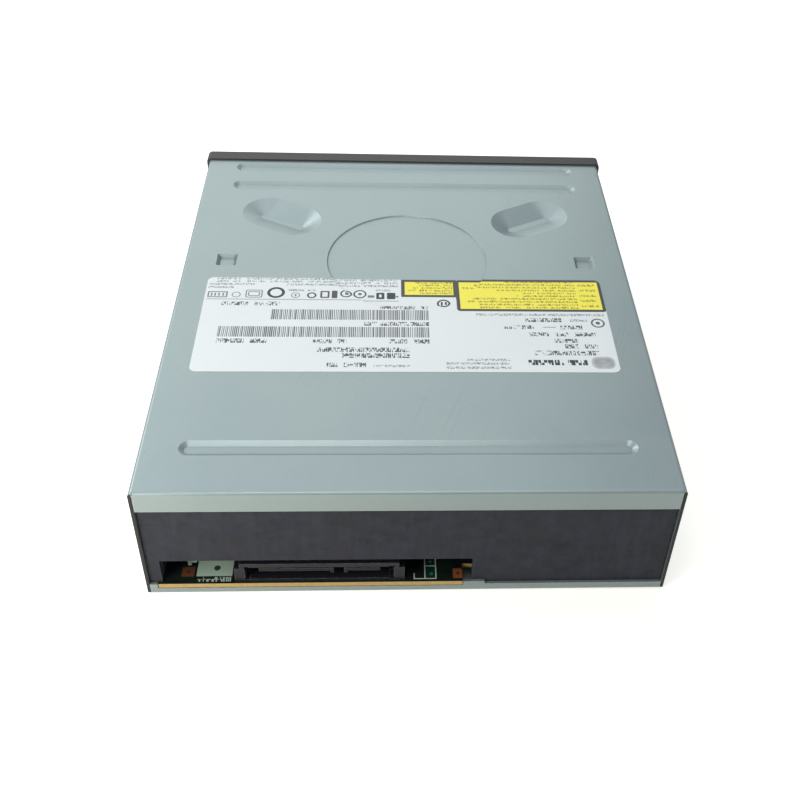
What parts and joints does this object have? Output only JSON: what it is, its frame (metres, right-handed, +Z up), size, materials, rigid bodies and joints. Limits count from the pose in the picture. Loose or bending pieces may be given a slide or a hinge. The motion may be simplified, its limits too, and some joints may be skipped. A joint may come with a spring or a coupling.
{
  "type": "internal optical disc writer",
  "caption": "Half-height internal disc writer: folded steel case, black front bezel with a sliding disc tray and eject button, rear data and power socket, laser pickup and loader inside.",
  "frame": {"origin": "centre of the bounding box's bottom face, on the surface the drive lies on", "axes": "+Z up, front bezel towards -Y, rear socket towards +Y, +X to the right as seen from the front"},
  "size_m": [0.148, 0.1704, 0.042],
  "materials": {
    "galvanised_steel": "satin",
    "screw_steel": "satin",
    "label_paper": "satin",
    "board_green": "satin",
    "black_plastic": "matte",
    "socket_plastic": "satin",
    "gilt_contact": "polished",
    "chip_black": "satin",
    "capacitor_can": "satin",
    "connector_ivory": "satin",
    "cable_film": "satin",
    "tray_plastic": "matte",
    "bezel_plastic": "matte",
    "gear_acetal": "satin",
    "belt_rubber": "matte",
    "damper_rubber": "matte",
    "motor_can": "satin",
    "bright_rod": "polished",
    "turntable_plastic": "satin",
    "pickup_casting": "satin",
    "lens_glass": "polished",
    "lens_black": "satin",
    "copper_wire": "satin",
    "magnet_grey": "satin",
    "clamp_plastic": "satin",
    "light_clear": "gloss"
  },
  "bodies": {
    "case": {"top_cover": "galvanised_steel", "bottom_cover": "galvanised_steel", "case_screws": "screw_steel", "rating_label": "label_paper", "main_board": "board_green", "board_screws": "screw_steel", "rear_socket": "socket_plastic", "socket_contacts": "gilt_contact", "controller_chip": "chip_black", "motor_driver_chip": "chip_black", "memory_chip": "chip_black", "board_capacitors": "capacitor_can", "ribbon_sockets": "connector_ivory", "front_cable": "cable_film", "front_cable_socket": "connector_ivory", "mainframe": "black_plastic", "drive_belt": "belt_rubber", "loading_motor": "motor_can", "motor_screws": "screw_steel", "clamp_bridge": "galvanised_steel", "front_bezel": "bezel_plastic", "light_pipe": "light_clear", "front_board": "board_green", "front_board_screws": "screw_steel", "eject_switch": "chip_black", "indicator_lamp": "light_clear"},
    "tray": {"disc_tray": "tray_plastic", "tray_door": "bezel_plastic"},
    "drive_wheel": {"drive_gear": "gear_acetal"},
    "pulley_wheel": {"pulley_gear": "gear_acetal"},
    "motor_wheel": {"motor_pulley": "gear_acetal"},
    "slider": {"cam_slider": "gear_acetal"},
    "loader": {"loader_base": "black_plastic", "dampers": "damper_rubber", "damper_screws": "screw_steel", "traverse_plate": "galvanised_steel", "guide_rods": "bright_rod", "rod_holders": "black_plastic", "spindle_motor_base": "motor_can", "stator_coils": "copper_wire", "feed_motor": "motor_can"},
    "spindle": {"spindle_rotor": "motor_can", "turntable": "turntable_plastic", "friction_ring": "belt_rubber"},
    "sled": {"pickup_body": "pickup_casting", "pickup_cover": "galvanised_steel", "feed_nut": "gear_acetal", "actuator_frame": "lens_black", "actuator_magnets": "magnet_grey", "suspension_wires": "copper_wire"},
    "lens": {"lens_holder": "lens_black", "focus_coils": "copper_wire", "objective_lens": "lens_glass"},
    "leadscrew": {"feed_screw": "bright_rod"},
    "clamp": {"clamper": "clamp_plastic", "clamper_magnet": "magnet_grey", "clamper_yoke": "screw_steel"},
    "button": {"eject_button": "bezel_plastic"}
  },
  "joints": [
    {"name": "tray_slide", "type": "slide", "parent": "case", "child": "tray", "axis": [0, -1, 0], "range_m": [0, 0.13]},
    {"name": "drive_gear_turn", "type": "hinge", "parent": "case", "child": "drive_wheel", "pos_m": [-0.046, -0.06115, 0.0144], "axis": [0, 0, 1], "range_deg": [0, 829]},
    {"name": "pulley_gear_turn", "type": "hinge", "parent": "case", "child": "pulley_wheel", "pos_m": [-0.02613, -0.06575, 0.0144], "axis": [0, 0, 1], "range_deg": [-1988, 0]},
    {"name": "motor_pulley_turn", "type": "hinge", "parent": "case", "child": "motor_wheel", "pos_m": [0.006, -0.06525, 0.0144], "axis": [0, 0, 1], "range_deg": [-5456, 0]},
    {"name": "cam_slide", "type": "slide", "parent": "case", "child": "slider", "axis": [1, 0, 0], "range_m": [0, 0.015]},
    {"name": "traverse_tilt", "type": "hinge", "parent": "case", "child": "loader", "pos_m": [0, 0.05625, 0.015], "axis": [-1, 0, 0], "range_deg": [0, 5.2]},
    {"name": "spindle_spin", "type": "hinge", "parent": "loader", "child": "spindle", "pos_m": [0, -0.01846, 0.02055], "axis": [0, -0.0906, 0.9959], "continuous": true},
    {"name": "sled_feed", "type": "slide", "parent": "loader", "child": "sled", "axis": [0, 0.9959, 0.0906], "range_m": [0, 0.034]},
    {"name": "feed_screw_turn", "type": "hinge", "parent": "loader", "child": "leadscrew", "pos_m": [0.031, 0.046, 0.01728], "axis": [0, 0.9959, 0.0906], "range_deg": [-4081, 0]},
    {"name": "lens_focus", "type": "slide", "parent": "sled", "child": "lens", "axis": [0, -0.0906, 0.9959], "range_m": [-0.0004, 0.0004], "stiffness_N_per_m": 30},
    {"name": "clamper_spin", "type": "hinge", "parent": "case", "child": "clamp", "pos_m": [0, -0.01765, 0.0282], "axis": [0, 0, 1], "continuous": true},
    {"name": "eject_press", "type": "slide", "parent": "case", "child": "button", "axis": [0, 1, 0], "range_m": [0, 0.0012], "stiffness_N_per_m": 300}
  ],
  "couplings": [
    {"joint": "drive_gear_turn", "follows": "tray_slide", "rad_per_m": 111.11},
    {"joint": "pulley_gear_turn", "follows": "tray_slide", "rad_per_m": -266.67},
    {"joint": "motor_pulley_turn", "follows": "tray_slide", "rad_per_m": -732.27},
    {"joint": "traverse_tilt", "follows": "cam_slide", "rad_per_m": 6.0504},
    {"joint": "feed_screw_turn", "follows": "sled_feed", "rad_per_m": -2094.4}
  ]
}
